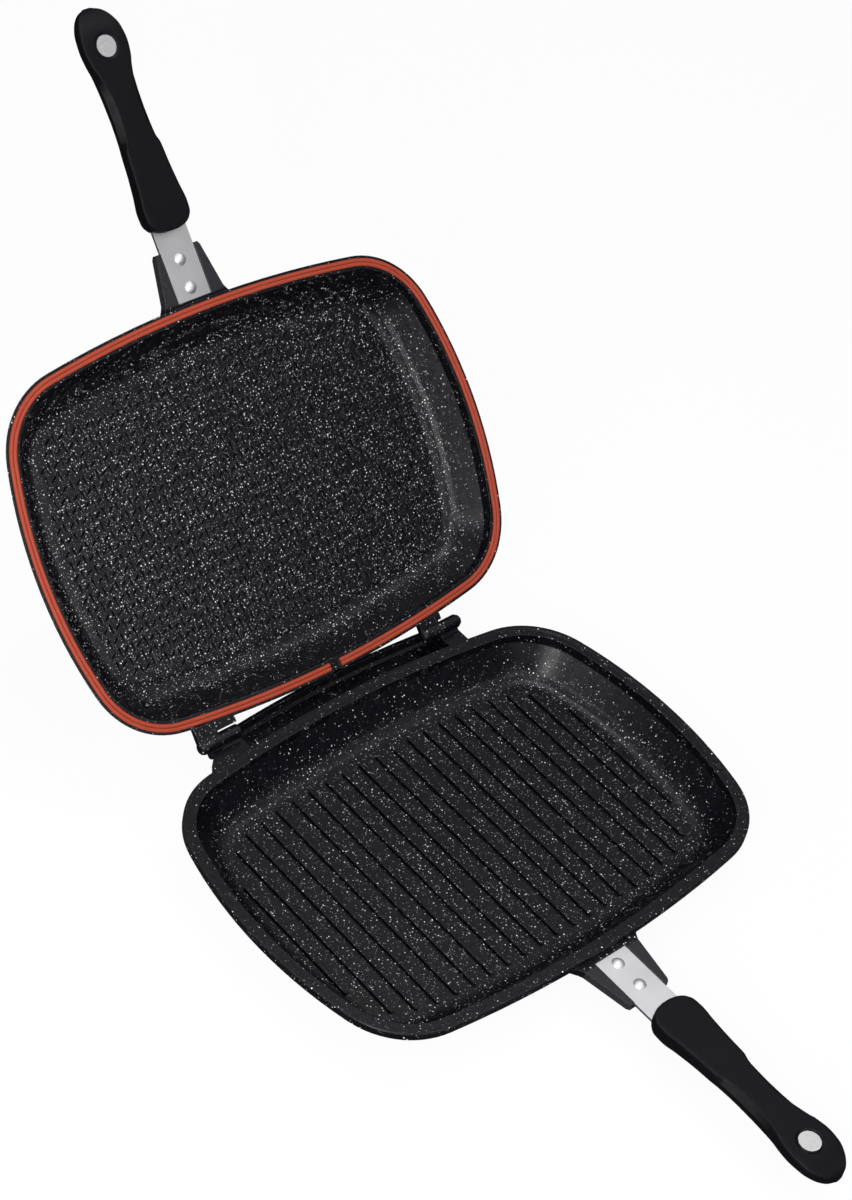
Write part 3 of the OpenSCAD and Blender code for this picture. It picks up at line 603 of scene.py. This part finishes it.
def grip_section(share):
    """The station values at a share of the length, on a smooth curve through them."""
    table = GRIP_STATIONS
    k = max(i for i in range(len(table) - 1) if table[i][0] <= share or i == 0)
    a, b = table[k], table[k + 1]
    before, after = table[max(k - 1, 0)], table[min(k + 2, len(table) - 1)]
    span = b[0] - a[0]
    t = (share - a[0]) / span
    values = []
    for c in range(1, 5):
        slope = (b[c] - a[c]) / span
        left = (a[c] - before[c]) / (a[0] - before[0]) if k else slope
        right = (after[c] - b[c]) / (after[0] - b[0]) if k + 2 < len(table) else slope
        m0 = monotone_slope(left, slope)
        m1 = monotone_slope(slope, right)
        values.append((2 * t**3 - 3 * t**2 + 1) * a[c] + (t**3 - 2 * t**2 + t) * span * m0
                      + (3 * t**2 - 2 * t**3) * b[c] + (t**3 - t**2) * span * m1)
    return values


def grip_ring(share, sides=18, across=6, edge_steps=4):
    """Points round a grip at a share of its length: flat face, rounded edges, half round body."""
    face, body, thick, drop = grip_section(share)
    face, body, thick, drop = face * GRIP_HALF_W, body * GRIP_HALF_W, thick * GRIP_T, drop * GRIP_T
    top = -GRIP_GAP - drop
    bulge = top - GRIP_WAIST * (thick - drop)
    low = -GRIP_GAP - thick
    least, narrow, span = GRIP_EDGE_FADE
    rounding = min(1.0, max(least, (face / body - narrow) / span))
    edge = min(GRIP_EDGE * rounding, GRIP_EDGE_MOST * face)
    corner = Vector((face, top))
    start = corner - Vector((edge, 0))
    end = corner + edge * Vector((body - face, bulge - top)).normalized()
    right = [((face - edge) * k / across, top) for k in range(across)]
    for k in range(edge_steps + 1):
        t = k / edge_steps
        right.append(tuple((1 - t)**2 * start + 2 * t * (1 - t) * corner + t * t * end))
    for k in range(sides):
        a = math.pi / 2 * k / sides
        right.append((body * math.cos(a), bulge - (bulge - low) * math.sin(a)))
    left = [(-x, z) for x, z in reversed(right[1:])]
    y = -GRIP_START - share * GRIP_LENGTH
    return [Vector((x, y, z)) for x, z in right + [(0.0, low)] + left]


def grip_shares():
    """Places of the rings, as shares of the length."""
    (near, far), (first, middle, last) = GRIP_ENDS, GRIP_STEPS
    return ([near * (1 - math.cos(math.pi / 2 * k / first)) for k in range(first)]
            + [near + (far - near) * k / middle for k in range(middle)]
            + [far + (1 - far) * math.sin(math.pi / 2 * k / last) for k in range(last + 1)])


def half_grip(name, node, body, place, material):
    """Smooth half grip with the dished seat of its magnet and the sunk hole of its screw."""
    rings = [grip_ring(share) for share in grip_shares()]
    points = [p for ring in rings for p in ring]
    ob = mesh_object(name, points, tube_faces(len(rings), len(rings[0])), material)
    tidy_normals(ob)
    seat = [(MAGNET_R + r, z) for r, z in MAGNET_SEAT]
    apply_cut(ob, lathe("magnet_seat", seat, (0, -GRIP_START - MAGNET_AT, -GRIP_GAP)))
    hole = [(SCREW_HEAD_R + r, z) for r, z in SCREW_HOLE]
    back_z = -GRIP_GAP - GRIP_BACK * GRIP_T
    apply_cut(ob, lathe("screw_hole", hole, (0, -GRIP_START - SCREW_AT, back_z)))
    ob.data.transform(place)
    tidy_normals(ob)
    smooth_by_angle(ob, 35)
    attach(ob, body)
    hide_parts(node)


# ------------------------------------------------------------------ studio
def make_camera():
    data = bpy.data.cameras.new("camera")
    data.lens = CAMERA_LENS
    data.sensor_width = CAMERA_SENSOR
    data.clip_end = CAMERA_REACH
    ob = bpy.data.objects.new("camera", data)
    bpy.context.scene.collection.objects.link(ob)
    level = (CAMERA_LOOKS_AT - CAMERA_AT).to_track_quat("-Z", "Y").to_matrix()
    turn = level @ Matrix.Rotation(CAMERA_ROLL, 3, "Z")
    ob.matrix_world = Matrix.Translation(CAMERA_AT) @ turn.to_4x4()
    bpy.context.scene.camera = ob


def area_light(name, way, distance, size, long_side, power):
    data = bpy.data.lights.new(name, "AREA")
    data.shape = "RECTANGLE"
    data.size, data.size_y = size
    data.energy = power
    ob = bpy.data.objects.new(name, data)
    bpy.context.scene.collection.objects.link(ob)
    back = Vector(way).normalized()
    across = Vector(long_side)
    across = (across - across.dot(back) * back).normalized()
    turn = Matrix((across, back.cross(across), back)).transposed()
    ob.matrix_world = Matrix.Translation(LIT_POINT + distance * back) @ turn.to_4x4()


def make_world():
    """White where the camera looks, grey in reflections, dim as a light."""
    world = bpy.data.worlds.new("studio")
    bpy.context.scene.world = world
    tree = Tree(world)
    rays = tree.add("ShaderNodeLightPath").outputs
    way = tree.add("ShaderNodeTexCoord").outputs["Generated"]
    height = tree.add("ShaderNodeSeparateXYZ", {"Vector": way}).outputs["Z"]
    mirror = tree.ramp(height, *WORLD_MIRROR, "LINEAR")
    level = WORLD_LIGHT
    for ray, seen in (("Glossy", mirror), ("Transmission", mirror), ("Camera", 1.0)):
        share = rays[f"Is {ray} Ray"]
        level = tree.add("ShaderNodeMix", {0: share, 2: level, 3: seen}).outputs[0]
    tree.fill(tree.nodes["Background"], {"Color": (1, 1, 1, 1), "Strength": level})


def make_floor():
    """White floor, which the camera sees nearly as bright as the background."""
    s = FLOOR_HALF
    floor = mesh_object("studio_floor", [(-s, -s, 0), (s, -s, 0), (s, s, 0), (-s, s, 0)],
                        [(0, 1, 2, 3)], smooth=False)
    floor.location.z = -FLOOR_DROP
    tree = Material("studio_floor")
    rays = tree.add("ShaderNodeLightPath").outputs
    colour = tree.mix_colour(rays["Is Glossy Ray"], FLOOR_WHITE, FLOOR_MIRRORED)
    tree.shade(base_color=colour, roughness=0.9)
    glow = tree.add("ShaderNodeEmission", {"Strength": 1.0}).outputs[0]
    share = tree.calc("MULTIPLY", rays["Is Camera Ray"], FLOOR_GLOW)
    mix = tree.add("ShaderNodeMixShader", {0: share, 1: tree.shader.outputs[0], 2: glow})
    tree.fill(tree.nodes["Material Output"], {"Surface": mix.outputs[0]})
    floor.data.materials.append(tree.material)


def make_studio():
    make_world()
    make_floor()
    for light in LIGHTS:
        area_light(*light)
    bpy.context.scene.view_settings.view_transform = "Standard"


# ------------------------------------------------------------------ build
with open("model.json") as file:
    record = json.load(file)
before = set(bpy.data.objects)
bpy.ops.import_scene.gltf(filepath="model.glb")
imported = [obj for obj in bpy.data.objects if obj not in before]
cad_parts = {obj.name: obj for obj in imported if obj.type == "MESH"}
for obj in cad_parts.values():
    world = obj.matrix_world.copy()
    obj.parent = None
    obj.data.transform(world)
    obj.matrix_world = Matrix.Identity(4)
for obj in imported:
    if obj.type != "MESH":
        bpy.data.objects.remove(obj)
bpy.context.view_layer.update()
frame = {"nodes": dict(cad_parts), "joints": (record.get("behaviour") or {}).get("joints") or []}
make_camera()

lid_place = opened(frame["joints"][0])
outwards, upwards = Vector((0, -1, 0)), Vector((0, 0, 1))
lower_zones = (outwards, -BRACKETS_FROM, upwards, LOWER_FLOOR_Z + WALL_ABOVE)
lid_out, lid_up = lid_place.to_3x3() @ outwards, lid_place.to_3x3() @ -upwards
lid_edge = lid_place @ Vector((0, BRACKETS_FROM, LID_FLOOR_Z - WALL_ABOVE))
upper_zones = (lid_out, lid_out.dot(lid_edge), lid_up, lid_up.dot(lid_edge))

lower_coating = stone_coating("lower_coating", lower_zones, LOWER_FLECKS, rib_shade_lines)
upper_coating = stone_coating("upper_coating", upper_zones, UPPER_FLECKS)
woven_coating = stone_coating("woven_coating", upper_zones, WEAVE_FLECKS, weave_crease_shade)
steel = brushed_steel("brushed_steel", 0.70, 0.22)
rivet_steel = brushed_steel("rivet_steel", 0.66, 0.42)
grip_plastic = bakelite()
magnet_face = magnet_metal()
seal_silicone = silicone()
LOOKS = {
    "lower_pan": lower_coating, "upper_pan": upper_coating, "seal": seal_silicone,
    "hinge_pin_left": steel, "hinge_pin_right": steel,
    "lower_strap": steel, "upper_strap": steel,
    "lower_rivet_near": rivet_steel, "lower_rivet_far": rivet_steel,
    "upper_rivet_near": rivet_steel, "upper_rivet_far": rivet_steel,
    "lower_grip": grip_plastic, "upper_grip": grip_plastic,
    "lower_grip_screw": steel, "upper_grip_screw": steel,
    "lower_magnet": magnet_face, "upper_magnet": magnet_face,
}
for node_name, look in LOOKS.items():
    node_materials = frame["nodes"][node_name].data.materials
    node_materials.clear()
    node_materials.append(look)

lid_weave(lid_place, woven_coating)
beaded_seal(lid_place, seal_silicone)
at_rim = Matrix.Translation((0, 0, RIM_Z))
half_grip("lower_half_grip", "lower_grip", "lower", at_rim, grip_plastic)
half_grip("upper_half_grip", "upper_grip", "upper",
          lid_place @ at_rim @ Matrix.Diagonal((1, 1, -1, 1)), grip_plastic)
make_studio()
